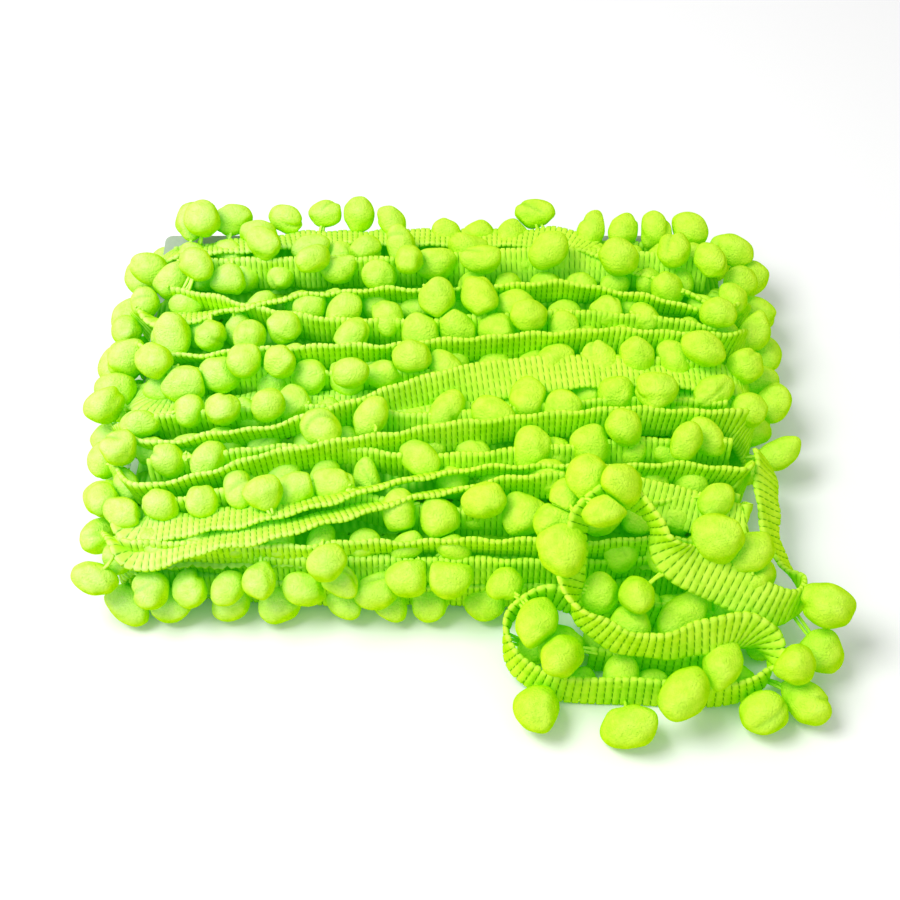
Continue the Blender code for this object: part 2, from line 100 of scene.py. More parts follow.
# Wound trim beneath its outer turns
CORE_HALF_LENGTH = 79.5
CORE_TOP = 20.6
CORE_MIDDLE = 11.5
END_START = 66.0
END_REACH = CORE_HALF_LENGTH - END_START

CORE_SECTIONS = (
    # y, share of the full height, inset of the left end, inset of the right end
    (-53.0, 0.56, 6.0, 11.0),
    (-50.5, 0.86, 3.0, 9.5),
    (-32.0, 0.97, 0.5, 7.5),
    (-8.0, 1.00, 0.0, 2.0),
    (16.0, 1.00, 0.0, 0.0),
    (36.0, 0.96, 0.5, 0.5),
    (48.5, 0.88, 2.5, 2.5),
    (52.5, 0.62, 8.0, 8.0),
)

STATIONS = (-70.0, -35.0, 0.0, 35.0, 70.0)

PASSES = (
    # name, y at the five stations, tilt in degrees there, height of the middle above the winding
    ("back", (45.2, 50.7, 51.7, 48.7, 26.2), (-30, -22, -20, -16, -50), 2.5),
    ("second", (19.0, 25.5, 26.0, 27.0, 21.0), (146, 128, 112, 106, 118), 4.4),
    ("third", (6.0, 4.0, 6.0, 9.0, 10.0), (122, 100, 98, 93, 88), 5.0),
    ("fourth", (-8.0, -8.0, -7.5, -7.5, -8.0), (-26, -16, -12, -6, 0), 1.4),
    ("wide", (-23.0, -19.0, -7.0, -1.5, -1.0), (108, 104, 62, 4, -6), 5.6),
    ("sixth", (-36.0, -28.0, -21.5, -17.0, -15.0), (104, 94, 90, 88, 86), 4.8),
    ("seventh", (-46.0, -42.0, -32.5, -32.0, -31.0), (166, 144, 124, 106, 96), 5.0),
    ("eighth", (-52.0, -47.5, -38.0, -37.0, -44.0), (168, 146, 126, 72, 22), 5.4),
    ("front", (-51.0, -51.8, -50.0, -50.8, -50.0), (88, 90, 104, 94, 90), 0.8),
)
PASS_STEPS = 8
END_SINK = 0.5
BENDS = (
    # degrees above level round the end, share of the tilt that is left
    (45, 0.55),
    (-10, 0.2),
    (-65, 0.0),
)
UNDER_PITCH = 11.5
UNDER_STOPS = (64.0, 56.0)

# Turns just beneath the outer ones, seen in the gaps between them
DEEP_PASSES = (
    # name, y at the five stations, tilt in degrees there, height of the middle above the winding
    ("deep_1", (36.0, 37.0, 38.0, 40.0, 36.0), (70, 80, 74, 30, 60), 1.6),
    ("deep_2", (28.0, 17.0, 15.0, 17.5, 14.0), (104, 96, 84, 78, 96), 1.8),
    ("deep_3", (-1.0, -1.5, -1.0, 1.0, 2.0), (80, 84, 92, 84, 76), 1.2),
    ("deep_4", (-15.0, -12.5, -16.0, -11.0, -10.0), (96, 84, 76, 86, 96), 1.0),
    ("deep_5", (-30.0, -24.5, -28.0, -25.0, -23.0), (84, 92, 84, 76, 84), 1.2),
    ("deep_6", (-41.0, -36.0, -43.0, -42.0, -38.0), (96, 84, 80, 92, 84), 0.8),
)

# Turns whose edges show on the front and back walls
WALL_PASSES = (
    # name, y at the five stations, tilt in degrees there, height of the middle
    ("front_low", (-50.0, -53.6, -54.2, -53.8, -50.0), (84, 90, 96, 88, 92), 6.2),
    ("front_high", (-49.0, -52.6, -53.2, -53.0, -49.0), (96, 86, 82, 92, 88), 14.6),
    ("back_low", (50.0, 53.4, 53.8, 53.4, 50.0), (90, 84, 92, 96, 88), 5.6),
    ("back_high", (49.0, 52.2, 52.6, 52.0, 49.0), (84, 92, 96, 88, 90), 14.4),
)
WALL_REACH = 73.0

# Flat turns of the layer below, which close the winding all round
LAYER_PITCH = 9.7
LAYER_COUNT = 11
LAYER_DEPTH = 3.2
LAYER_STAGGER = 1.0
LAYER_STOP = 30.0
LAYER_UNDER_STOPS = (END_START, 20.0)
LAYER_BOTTOM = 2.2
LAYER_BOTTOM_SHARE = 0.3

# Room that a pompom keeps from an upright turn, and how upright a turn is that pushes it aside
PASS_ROOM = 5.6
UPRIGHT_SINE = 0.8
PASS_REACH = 76.0
PASS_FOOT_Z = 16.0

# The pompoms that show, charted as seen from above: one character for each 3 mm from the left end.
# Letters a to g step from far to near across the row, d on its middle line. A capital is a
# pompom that rides up on its neighbours.
CHART_START = -89.0
CHART_PITCH = 3.0
CHART_STEP = 3.0
CHART_RAISE = 4.6
TOP_LIFT = 4.2
WALL_SQUEEZE = 0.8
LOW_ROW_Z = 10.0
TOP_ROWS = (
    # y of the middle line, chart
    (56.0, ".......cE. .c.d.c...b ..b..c.... ........b. ...e..d..e ..d...g..."),
    (38.0, "....d.f.F. .f..C...bE .d.ceb.E.d ..bE.....D .....E.... D..E..e..."),
    (21.0, "..d.b..... ......f.d. .dg..e..fC .f.Cf.dF.. f...c..c.c ...D.b.e.."),
    (6.0, "..fc..Fb.g bf.Fb..F.g .eG.f..F.. f........e ...d..d..c .E...e.g.."),
    (-10.0, "..D..f...e ..G...G.c. ....E..... e...f..d.e ....c..D.. .gc..d.e.."),
    (-26.0, "..c.D...c. .d........ Dg......e. .......df. .gc.B....D ...beb.d.."),
    (-40.0, "...c.d.d.. .d..c.D.c. .......e.f ...E..e... ..e.b..... .d..c..d.."),
)
WALL_ROWS = (
    # y, z of the middle line, chart
    (-56.5, 17.0, "...d....f. f..f.d...f .a.ef..d.. d.f..g.... .......... .........."),
    (-56.0, 5.0, ".....d..d. ...d...d.. ..d...d.d. ...d...... .......... .........."),
    (57.0, 18.5, ".......... .......... .......... e..d..e... .......... .........."),
    (57.0, 5.0, "....d...d. ..d...d..d ...d...d.. .d...d..d. ..d..d...d ..d..d...."),
)
END_ROWS = (
    # side, z, distance out of the winding, first y, last y, count
    (-1, 12.0, 3.6, -40.0, 44.0, 7),
    (-1, 5.2, 1.4, -34.0, 38.0, 6),
    (1, 12.0, 3.6, -8.0, 46.0, 5),
    (1, 5.2, 1.4, -14.0, 40.0, 5),
)
END_WOBBLE = 2.0

PUSH_ROUNDS = 24
PUSH_SHARE = 0.25
PUSH_UP = 0.4

CARD_BOTTOM_Z = 10.4
CARD_THICK = 2.5
CLEARANCE = 0.3
CARD_TOUCH = 0.3

# How far inside the far edge of the winding's form a pompom already counts as behind it
BEHIND_MARGIN = 1.0

# Pompoms behind the back turn are tucked in a little closer to it
BACK_ROW_Y = 53.5
BACK_ROW_TUCK = 2.4

# Painted shade in the forms: how far inside the winding's form a point begins to lighten, how much
# further out it is in the open, and the share of its relief and shade value that it keeps at the deepest
OPEN_START = 1.4
OPEN_DEPTH = 4.6
OPEN_LEAST = 0.33

# The hollow inside the loops of the heap, low in which the yarn is painted in shade
HEAP_MIDDLE = (46.0, -67.0)
HEAP_REACH = (24.0, 9.0)
HEAP_TOP = 20.0
HEAP_EDGE = 1.3

# Smaller pompoms squeezed in below the ones above, on a staggered grid
DEEP_START = (-75.0, -50.0)
DEEP_SPAN = (150.0, 100.0)
DEEP_WOBBLE = 1.6
DEEP_PITCH_X = 9.6
DEEP_PITCH_Y = 9.4
DEEP_LIFT = 0.4
DEEP_RADIUS = 4.0
DEEP_GAP = 6.6
DEEP_DETAIL = 3

# The loose end: the middle line of its braid from the winding to its cut end
LOOSE_ROUTE = (
    # x, y, z, tilt
    (78.6, -22.0, 17.5, 54),
    (78.6, -28.0, 17.8, 50),
    (78.2, -34.5, 16.8, 48),
    (78.4, -41.0, 14.8, 48),
    (79.8, -47.5, 13.0, 54),
    (82.5, -52.7, 12.5, 66),
    (84.0, -58.0, 13.5, 84),
    (81.0, -63.2, 16.0, 78),
    (75.1, -65.4, 19.0, 60),
    (68.7, -64.1, 22.0, 46),
    (60.5, -62.2, 26.0, 40),
    (53.4, -60.8, 30.0, 56),
    (49.6, -58.0, 33.5, 84),
    (47.6, -54.6, 36.5, 94),
    (44.3, -51.1, 39.0, 94),
    (39.5, -49.3, 40.0, 92),
    (34.4, -50.4, 38.0, 88),
    (31.0, -53.6, 34.5, 76),
    (30.0, -58.1, 31.5, 60),
    (29.4, -62.0, 29.0, 54),
    (28.8, -66.0, 27.0, 60),
    (30.1, -69.8, 25.0, 74),
    (34.1, -72.9, 22.5, 84),
    (39.4, -75.1, 20.5, 88),
    (45.4, -76.3, 19.5, 92),
    (52.0, -75.8, 19.5, 100),
    (58.0, -74.2, 19.5, 108),
    (64.0, -72.3, 19.0, 110),
    (69.3, -70.8, 17.0, 104),
    (73.8, -71.4, 13.3, 96),
    (75.5, -74.6, 9.8, 92),
    (72.8, -78.3, 7.4, 92),
    (67.0, -80.5, 6.0, 92),
    (59.0, -80.9, 5.4, 90),
    (50.0, -80.0, 5.2, 86),
    (41.0, -79.5, 5.2, 84),
    (32.0, -79.5, 5.3, 86),
    (25.0, -78.6, 5.9, 88),
    (19.4, -75.9, 7.3, 88),
    (15.8, -72.1, 9.2, 86),
    (14.9, -67.8, 11.5, 86),
    (16.6, -63.8, 13.6, 84),
    (20.6, -61.4, 15.6, 82),
    (25.5, -61.0, 16.2, 84),
    (31.0, -61.6, 14.8, 86),
    (38.0, -62.5, 12.4, 88),
    (46.0, -62.5, 10.6, 90),
    (54.0, -62.0, 9.2, 92),
    (60.8, -62.6, 8.2, 94),
    (65.0, -66.0, 7.2, 94),
    (64.2, -70.3, 6.2, 92),
    (58.5, -72.6, 5.4, 90),
    (50.0, -72.2, 5.3, 90),
    (41.5, -71.6, 5.3, 90),
    (34.0, -71.2, 5.6, 90),
)
LOOSE_STEPS = 2
LOOSE_ROOM = 1.1

LOOSE_POMPOMS = (
    # x, y, z, radius
    (25.8, -51.4, 32.5, 5.0),
    (26.9, -59.6, 32.5, 6.0),
    (28.3, -47.2, 36.0, 4.2),
    (35.8, -54.8, 41.5, 4.8),
    (40.2, -50.4, 44.5, 5.4),
    (33.0, -46.0, 41.5, 5.0),
    (21.5, -69.0, 18.0, 5.6),
    (27.0, -77.0, 16.0, 5.8),
    (22.0, -84.5, 5.9, 5.8),
    (42.0, -89.0, 6.1, 6.0),
    (54.3, -84.5, 12.8, 5.9),
    (44.0, -66.0, 25.0, 5.4),
    (36.0, -63.5, 21.5, 4.8),
    (42.4, -69.0, 17.0, 5.0),
    (54.5, -66.5, 16.5, 5.4),
    (52.5, -67.2, 7.0, 4.6),
    (63.5, -77.0, 12.8, 5.2),
    (80.0, -77.5, 13.5, 5.6),
    (87.5, -70.5, 8.0, 5.2),
    (83.0, -82.5, 5.6, 5.4),
    (88.0, -64.5, 18.0, 5.8),
    (73.0, -85.0, 5.8, 5.6),
    (62.0, -56.0, 32.5, 5.8),
    (70.5, -56.5, 27.0, 5.2),
    (72.0, -58.5, 21.0, 5.0),
    (70.8, -65.5, 8.5, 5.0),
    (28.0, -69.5, 8.0, 5.0),
    (41.0, -75.4, 7.0, 4.2),
    (33.5, -58.4, 9.0, 4.2),
    (47.0, -58.4, 7.5, 4.2),
    (60.0, -58.4, 7.0, 4.2),
    (14.8, -58.6, 17.5, 4.4),
)

# Smaller pompoms on the floor inside the loops of the heap
LOW_POMPOMS = (
    # x, y, z, radius
    (21.4, -67.4, 4.2, 4.2),
    (36.8, -66.4, 4.2, 4.2),
    (32.2, -76.0, 3.4, 3.4),
    (48.6, -76.2, 3.5, 3.5),
    (57.2, -77.0, 3.4, 3.4),
    (67.0, -57.0, 4.3, 4.3),
    (75.6, -66.0, 4.4, 4.4),
    (68.4, -75.6, 3.6, 3.6),
    (54.6, -57.2, 4.2, 4.2),
)

# Pompoms: their radius and how much it varies, how finely they are cut, and how many make a piece
SHOWN_RADIUS = 4.75
RADIUS_VARIES = 0.08
POMPOM_DETAIL = 4
POMPOM_GROUP = 64

# How a pompom is shaped, in shares of its radius. A chance is from 0 to 1, a pair is a least and
# a most, and a level flattens or heightens the sphere that a direction is picked from.
SIZE_RANGE = (0.92, 1.06)
STRETCH = (1.06, 1.5)
STRETCH_LEVEL = 0.5
BEAN_CHANCE = 0.5
BEAN_BEND = 0.3
BEAN_MIDDLE = 0.35
LUMP_COUNT = 5
LUMP_SIZE = 0.036
LUMP_WAVES = (1.6, 3.4)
LUMP_FADE = 0.3
FINE_COUNT = 7
FINE_SIZE = 0.012
FINE_WAVES = (4.5, 9.0)
ROOT_TAPER = 0.07
NECK_CHANCE = 0.4
NECK_LENGTH = 0.2
NECK_START = 0.72
NECK_SPAN = 0.28
CREASE_CHANCE = 0.55
CREASE_DEPTH = 0.12
CREASE_WIDTH = 0.18
CREASE_OFF = 0.3
CREASE_LEVEL = 1.6
CREASE_SHARP = 1.5
# How much painted shade a crease gets
CREASE_SHADE = 0.45

# How neighbours press a pompom flat: half the gap between them, how softly the flat begins, the
# most that is pressed in, how much painted shade the pressed part gets and over what depth, and how near
# they are
PRESS_GAP = 0.05
PRESS_SOFT = 0.8
PRESS_MOST = 8.0
PRESS_SHADE = 0.3
PRESS_SHADE_DEPTH = 1.6
NEIGHBOUR_REACH = 2.5
SAME_PLACE = 0.01

# Yarn strands that tie a pompom on
STRAND_RADIUS = 0.42
STRAND_SIDES = 5
STRAND_STEPS = 4
STRAND_SPREAD = 1.0
STRAND_REACH = 9.0
STRAND_COUNTS = (2, 3, 3)
STRAND_SAG = 0.6
STRAND_NARROWS = 0.35
# Relief and painted shade value of a strand
STRAND_SHADE_VALUE = 0.9

# A pompom is tied where its braid's edge is at least nearly out of it, and to a share of its radius
TIE_LEAST = 0.5
TIE_DEPTH = 0.55
ROOT_BELOW = 2.0

# Where each run of random draws starts
TURN_SEED = 10
BELOW_SEED = 30
WALL_SEED = 50
LAYER_SEED = 70
LOOSE_SEED = 90
POMPOM_SEED = 1000
LOOSE_POMPOM_SEED = 3000

# Camera: its height above the floor, what it looks at, and how far away it is
CAMERA_ELEVATION = 52.0
CAMERA_TARGET = (2.0, -15.0, 12.0)
CAMERA_DISTANCE = 400.0
CAMERA_LENS = 64.0
CAMERA_SENSOR = 36.0

# Light: even from all round, and a little more from one soft square light
WORLD_STRENGTH = 0.62
KEY_PLACE = (-280.0, -90.0, 560.0)
KEY_SIZE = 300.0
KEY_POWER = 3.2

# Yarn tones: a painted highlight, lit and shaded copies of the yarn's colour, a deep green painted as
# shade, a painted green glow, and the sheen's tint
POMPOM_HIGHLIGHT = (0.75, 0.97, 0.32)
POMPOM_LIT = (0.66, 0.90, 0.01)
POMPOM_SHADE = (0.44, 0.76, 0.0)
BRAID_HIGHLIGHT = (0.77, 0.98, 0.32)
BRAID_LIT = (0.67, 0.92, 0.02)
BRAID_SHADE = (0.44, 0.77, 0.0)
# Deep green painted as shade in slots, creases and deep in the forms
YARN_DEEP_SHADE = (0.03, 0.30, 0.0)
YARN_GLOW = (0.04, 1.0, 0.0)
YARN_SHEEN = (0.8, 1.0, 0.0)
GLOW_STRENGTH = 0.13

# How finely the yarn turns from yellower to greener across the trim, and where its painted highlight is
# fullest: to the left
CLUMP_SCALE = 110.0
HIGHLIGHT_FULL_X = -60.0
HIGHLIGHT_FADED_X = 10.0
HIGHLIGHT_FADED_SHARE = 0.3

# Scale of each yarn's fibres, their depth in metres, and scale of its mottle
BRAID_FIBRE = (4200.0, 0.00025, 380.0)
POMPOM_FIBRE = (1800.0, 0.0008, 420.0)

# Ranges of the yarn's tones, which paint its highlight, light and shade by how each face turns, mix in
# random clumps and mottle, and paint deep shade by the relief and shade value: what goes in, and what
# comes out where that isn't 0 to 1
HIGHLIGHT_FACING = (0.3, 0.95)
HIGHLIGHT_MOTTLE = (0.25, 0.75, 0.35, 1.0)
LIT_FACING = (-0.4, 0.7, 0.0, 0.8)
LIT_CLUMPS = (0.3, 0.7, -0.25, 0.35)
LIT_MOTTLE = (0.3, 0.7, -0.6, 0.5)
DEEP_SHADE_RANGE = (0.0, 0.8)

# The way that the yarn's faces with a painted highlight look: up, and a little to the left and the front
HIGHLIGHT_WAY = (-0.25, -0.35, 0.9)
CARD_LIGHT = (0.42, 0.50, 0.40)
CARD_DARK = (0.33, 0.40, 0.32)


def wobble(index, channel):
    """A steady value from -1 to 1 that differs from pompom to pompom."""
    return math.sin(12.9898 * index + 78.233 * channel + 0.5)


def blend(values, x):
    """Reads a value given at the five stations anywhere between them, without corners."""
    last = len(STATIONS) - 2
    span = STATIONS[1] - STATIONS[0]
    place = min(max((x - STATIONS[0]) / span, 0.0), last + 0.9999)
    i = int(place)
    t = place - i
    before = values[max(i - 1, 0)]
    after = values[min(i + 2, last + 1)]
    a = values[i]
    b = values[i + 1]
    slope_a = (b - before) / 2
    slope_b = (after - a) / 2
    return (a * (1 + 2 * t) + slope_a * t) * (1 - t) ** 2 + (b * (3 - 2 * t) + slope_b * (t - 1)) * t ** 2


def crown(y, side):
    """Share of the full height, and the inset of one end, at one place across the winding."""
    rows = CORE_SECTIONS
    end = 2 if side < 0 else 3
    for near, far in zip(rows, rows[1:]):
        if y <= far[0]:
            t = min(max((y - near[0]) / (far[0] - near[0]), 0.0), 1.0)
            return near[1] + (far[1] - near[1]) * t, near[end] + (far[end] - near[end]) * t
    return rows[-1][1], rows[-1][end]


def winding_top(x, y, above=0.0):
    """Height of the winding's upper surface, or of a layer above it."""
    share, inset = crown(y, x)
    rise = (CORE_TOP - CORE_MIDDLE) * share + above
    reach = END_REACH - inset + above
    over = max(abs(x) - END_START, 0.0) / reach
    return CORE_MIDDLE + rise * math.sqrt(max(1.0 - over * over, 0.0))


def smooth_line(points, steps, closed=False):
    """More points on a smooth curve through the given ones, each a row of numbers."""
    rows = np.array(points, float)
    count = len(rows)
    if closed:
        before = np.roll(rows, 1, axis=0)
        start = rows
        end = np.roll(rows, -1, axis=0)
        after = np.roll(rows, -2, axis=0)
    else:
        start = rows[:-1]
        end = rows[1:]
        before = rows[[0, *range(count - 2)]]
        after = rows[[*range(2, count), count - 1]]
    line = []
    for k in range(steps):
        t = k / steps
        bend = (2 * before - 5 * start + 4 * end - after) * t ** 2
        bend = bend + (3 * start - before - 3 * end + after) * t ** 3
        line.append(start + 0.5 * ((end - before) * t + bend))
    line = np.stack(line, axis=1).reshape(-1, rows.shape[1])
    if not closed:
        line = np.vstack([line, rows[-1]])
    return line


def charted(rows_text):
    """Yields the place, the row step and the raised flag of each letter in one chart."""
    for place, letter in enumerate(rows_text.replace(" ", "")):
        if letter != ".":
            step = ord("d") - ord(letter.lower())
            yield CHART_START + CHART_PITCH * place, step * CHART_STEP, letter.isupper()


def loose_line():
    return smooth_line(LOOSE_ROUTE, LOOSE_STEPS)


def clear_of_loose_end(centre, line):
    """True where a pompom of the winding has room beneath or beside the loose end."""
    for x, y, z, tilt in line:
        if (Vector((x, y, z)) - centre).length < BRAID_WIDTH / 2 + POMPOM_RADIUS + LOOSE_ROOM:
            return False
    for x, y, z, radius in LOOSE_POMPOMS:
        if (Vector((x, y, z)) - centre).length < POMPOM_RADIUS + radius + LOOSE_ROOM:
            return False
    return True


def push_off_upright_turns(centre):
    """Moves a pompom away from each turn of braid that stands on edge beside it."""
    for name, y_row, tilts, lift in PASSES:
        upright = abs(math.sin(math.radians(blend(tilts, centre.x)))) > UPRIGHT_SINE
        off = centre.y - blend(y_row, centre.x)
        if upright and abs(off) < PASS_ROOM and abs(centre.x) < PASS_REACH and centre.z > PASS_FOOT_Z:
            centre.y += (PASS_ROOM - abs(off)) * PUSH_UP * (1.0 if off > 0 else -1.0)


def keep_off_card(centre):
    """Sets a pompom behind the winding on the card's upper face, or just under the card."""
    if centre.y > CORE_SECTIONS[-1][0] - BEHIND_MARGIN:
        room = CLEARANCE + POMPOM_RADIUS + CARD_TOUCH
        if centre.z > CARD_BOTTOM_Z:
            centre.z = max(centre.z, CARD_BOTTOM_Z + CARD_THICK + room)
        else:
            centre.z = CARD_BOTTOM_Z - room


def winding_pompoms():
    """Centre of each pompom on the winding, pushed apart so that neighbours only touch."""
    centres = []
    for y, chart in TOP_ROWS:
        for x, step, raised in charted(chart):
            lift = TOP_LIFT + (CHART_RAISE if raised else 0.0)
            centres.append(Vector((x, y + step, winding_top(x, y + step, lift))))
    for y, z, chart in WALL_ROWS:
        squeeze = WALL_SQUEEZE if z > LOW_ROW_Z else 0.0
        for x, step, raised in charted(chart):
            centres.append(Vector((x, y, z + step * squeeze)))
    for side, z, out, first, last, count in END_ROWS:
        for k in range(count):
            y = first + (last - first) * k / (count - 1)
            share, inset = crown(y, side)
            x = side * (CORE_HALF_LENGTH - inset + out)
            centres.append(Vector((x, y + END_WOBBLE * wobble(k, z), z)))
    line = loose_line()
    centres = [centre for centre in centres if clear_of_loose_end(centre, line)]
    for turn in range(PUSH_ROUNDS):
        for i, a in enumerate(centres):
            for b in centres[:i]:
                apart = a - b
                short = POMPOM_SPACING - apart.length
                if 0.0 < short < POMPOM_SPACING:
                    push = apart.normalized() * short * PUSH_SHARE
                    push.z = push.z * PUSH_UP
                    a += push
                    b -= push
        for centre in centres:
            push_off_upright_turns(centre)
    for centre in centres:
        keep_off_card(centre)
        centre.z = max(centre.z, POMPOM_RADIUS)
    return centres


def deep_pompoms(above):
    """Centres of the smaller pompoms in the gaps under the ones that are charted."""
    centres = []
    line = loose_line()
    rows = int(DEEP_SPAN[1] / DEEP_PITCH_Y)
    columns = int(DEEP_SPAN[0] / DEEP_PITCH_X)
    for row in range(rows + 1):
        for column in range(columns + 1):
            index = row * columns + column
            x = DEEP_START[0] + DEEP_PITCH_X * (column + 0.5 * (row % 2)) + DEEP_WOBBLE * wobble(index, 1)
            y = DEEP_START[1] + DEEP_PITCH_Y * row + DEEP_WOBBLE * wobble(index, 2)
            centre = Vector((x, y, winding_top(x, y, DEEP_LIFT)))
            near = [other for other in above + centres if (other - centre).length < DEEP_GAP]
            if not near and clear_of_loose_end(centre, line):
                centres.append(centre)
    return centres


def in_winding(points):
    """Share of the open air that each point has: little where it lies close to the winding's form, where
    it is painted in shade.
    """
    x, y, z = points.T
    rows = np.array(CORE_SECTIONS)
    share = np.interp(y, rows[:, 0], rows[:, 1])
    inset = np.where(x < 0, np.interp(y, rows[:, 0], rows[:, 2]), np.interp(y, rows[:, 0], rows[:, 3]))
    over = np.clip((np.abs(x) - END_START) / (END_REACH - inset), 0.0, 1.0)
    top = CORE_MIDDLE + (CORE_TOP - CORE_MIDDLE) * share * np.sqrt(1.0 - over ** 2)
    out = np.max([z - top, np.abs(x) - CORE_HALF_LENGTH + inset, rows[0, 0] - y, y - rows[-1, 0]], axis=0)
    return np.clip((out + OPEN_START) / OPEN_DEPTH, 0.0, 1.0)


def in_heap(points):
    """Share of the open air that each point of the loose end has: little low down inside its loops, where
    it is painted in shade.
    """
    x, y, z = points.T
    off = ((x - HEAP_MIDDLE[0]) / HEAP_REACH[0]) ** 2 + ((y - HEAP_MIDDLE[1]) / HEAP_REACH[1]) ** 2
    inside = np.clip(HEAP_EDGE - off, 0.0, 1.0) * np.clip((HEAP_TOP - z) / HEAP_TOP, 0.0, 1.0)
    return 1.0 - inside


def make_piece(name, shapes, material, openness):
    """One smooth mesh from shapes in millimetres, with its relief and painted shade kept for the material.
    """
    points, faces, relief_and_shade = join_shapes(shapes)
    # Painted shade: darker where the piece lies deep in the winding's form or low inside the heap's loops
    relief_and_shade = relief_and_shade * (OPEN_LEAST + (1.0 - OPEN_LEAST) * openness(points))
    mesh = bpy.data.meshes.new(name)
    mesh.from_pydata((points * MM).tolist(), [], faces)
    mesh.shade_smooth()
    layer = mesh.attributes.new("relief_and_shade", "FLOAT", "POINT")
    layer.data.foreach_set("value", relief_and_shade.astype(np.float32))
    piece = bpy.data.objects.new(name, mesh)
    bpy.context.scene.collection.objects.link(piece)
    mesh.materials.append(material)
    return piece


def settle(piece, slot, *nodes):
    """Lets a piece move with the one body and stand for the nodes that it shows in full."""
    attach(piece, "root")
    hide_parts(*nodes)


def wound_stops(y_row, tilts, lift, under_y):
    """Stops once round the winding: middle, tilt, way across, way out of the winding."""
    stops = []
    for k in range(PASS_STEPS + 1):
        x = STATIONS[0] + (STATIONS[-1] - STATIONS[0]) * k / PASS_STEPS
        y = blend(y_row, x)
        near_end = max(abs(x) - STATIONS[-2], 0.0) / (STATIONS[-1] - STATIONS[-2])
        height = winding_top(x, y, lift * (1.0 - END_SINK * near_end))
        stops.append((x, y, height, blend(tilts, x), 0.0, 0.0, 1.0))
    for side, end_y, end_tilt in ((1, y_row[-1], tilts[-1]), (-1, y_row[0], tilts[0])):
        arc = []
        for k, (bend, share_of_tilt) in enumerate(BENDS, 1):
            angle = math.radians(bend)
            y = end_y + (under_y - end_y) * k / (len(BENDS) + 1)
            share, inset = crown(y, side)
            out = (side * math.cos(angle), 0.0, math.sin(angle))
            height = (CORE_TOP - CORE_MIDDLE) * share if angle > 0 else CORE_MIDDLE - RIB_RISE - BRAID_CORE
            x = side * (END_START + (END_REACH - inset) * math.cos(angle))
            rise = lift * END_SINK * share_of_tilt
            z = CORE_MIDDLE + height * math.sin(angle)
            arc.append((x + out[0] * rise, y, z + out[2] * rise, end_tilt * share_of_tilt, *out))
        flat = [(side * x, under_y, RIB_RISE + BRAID_CORE, 0.0, 0.0, 0.0, -1.0) for x in UNDER_STOPS]
        stops += arc + flat if side == 1 else flat[::-1] + arc[::-1]
    return stops


def layer_stops(y, depth):
    """Stops once round the winding for a flat turn of the layer below."""
    stops = []
    top = (CORE_TOP - CORE_MIDDLE) * crown(y, 1)[0] - depth
    bottom = CORE_MIDDLE - LAYER_BOTTOM - depth * LAYER_BOTTOM_SHARE
    for x in (-END_START, -LAYER_STOP, 0.0, LAYER_STOP, END_START):
        stops.append((x, y, CORE_MIDDLE + top, 0.0, 0.0, 0.0, 1.0))
    for side in (1, -1):
        arc = []
        reach = END_REACH - crown(y, side)[1] - depth
        for angle in (0.25 * math.pi, 0.0, -0.25 * math.pi):
            height = top if angle > 0 else bottom
            out = (side * math.cos(angle), 0.0, math.sin(angle))
            x = side * (END_START + reach * math.cos(angle))
            arc.append((x, y, CORE_MIDDLE + height * math.sin(angle), 0.0, *out))
        flat = [(side * x, y, CORE_MIDDLE - bottom, 0.0, 0.0, 0.0, -1.0) for x in LAYER_UNDER_STOPS]
        stops += arc + flat if side == 1 else flat[::-1] + arc[::-1]
    return stops


